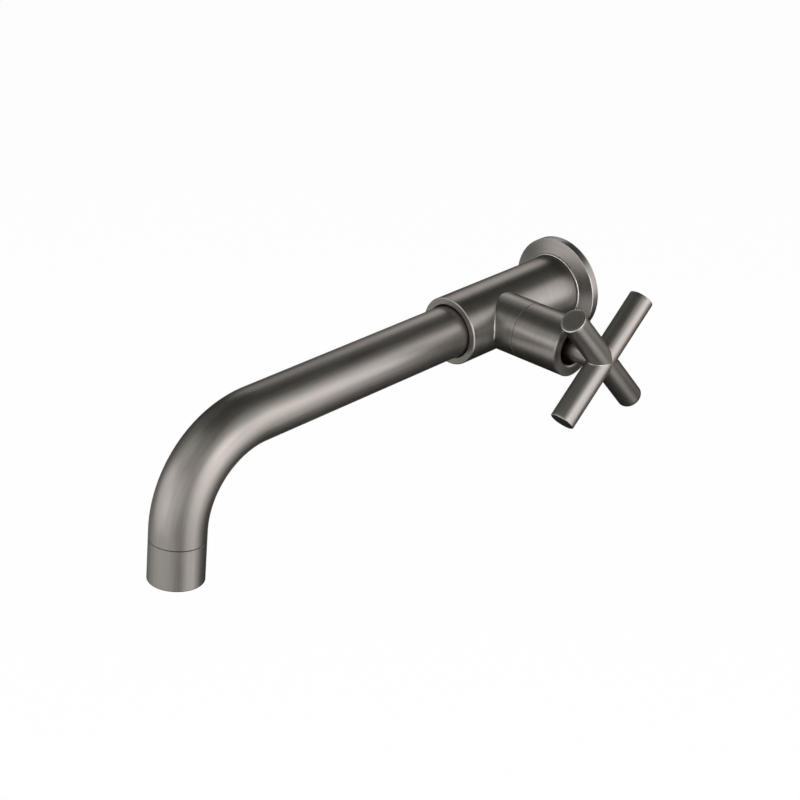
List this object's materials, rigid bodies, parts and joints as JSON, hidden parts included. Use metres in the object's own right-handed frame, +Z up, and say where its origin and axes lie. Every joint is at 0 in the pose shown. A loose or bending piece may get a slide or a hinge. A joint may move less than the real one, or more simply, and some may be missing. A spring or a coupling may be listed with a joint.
{
  "type": "wall-mounted basin tap",
  "caption": "Wall-mounted basin tap: tee body on a round wall flange, long bent spout, cross handle on a side branch.",
  "frame": {"origin": "on the wall plane, at the middle of the inlet thread", "axes": "+Y into the wall along the inlet thread, -Y out towards the spout, +X along the valve branch, +Z up"},
  "size_m": [0.102, 0.2731, 0.0946],
  "materials": {
    "gunmetal": "brushed grey metal coating",
    "brass": "turned",
    "steel": "plain",
    "chrome_shell": "bright",
    "seal_rubber": "matt",
    "gasket_foam": "foam",
    "fibre": "pressed fibre",
    "disc_ceramic": "lapped",
    "white_plastic": "moulded",
    "green_plastic": "moulded"
  },
  "bodies": {
    "tap": {"body_tee": "gunmetal", "wall_flange": "gunmetal", "flange_gasket": "gasket_foam", "flange_o_ring": "seal_rubber", "inlet_nipple": "brass", "nipple_o_ring": "seal_rubber", "spout_tube": "gunmetal", "spout_spigot": "brass", "spigot_o_rings": "seal_rubber", "spout_grub_screw": "steel", "outlet_ring": "gunmetal", "outlet_collar": "gunmetal", "collar_o_ring": "seal_rubber", "aerator_insert": "chrome_shell", "aerator_washer": "seal_rubber", "inlet_screen": "white_plastic", "flow_regulator": "green_plastic", "flow_straightener": "white_plastic", "valve_cage": "brass", "valve_washer": "fibre", "seat_seal": "seal_rubber", "fixed_disc": "disc_ceramic", "thrust_washer": "white_plastic", "valve_sleeve": "gunmetal", "sleeve_o_ring": "seal_rubber"},
    "handle": {"cross_handle": "gunmetal", "handle_grub_screw": "steel", "spindle": "brass", "spindle_o_rings": "seal_rubber", "turning_disc": "disc_ceramic", "spindle_circlip": "steel"}
  },
  "joints": [
    {"name": "handle_turn", "type": "hinge", "parent": "tap", "child": "handle", "pos_m": [0, -0.0525, 0], "axis": [1, 0, 0], "range_deg": [0, 90]}
  ]
}
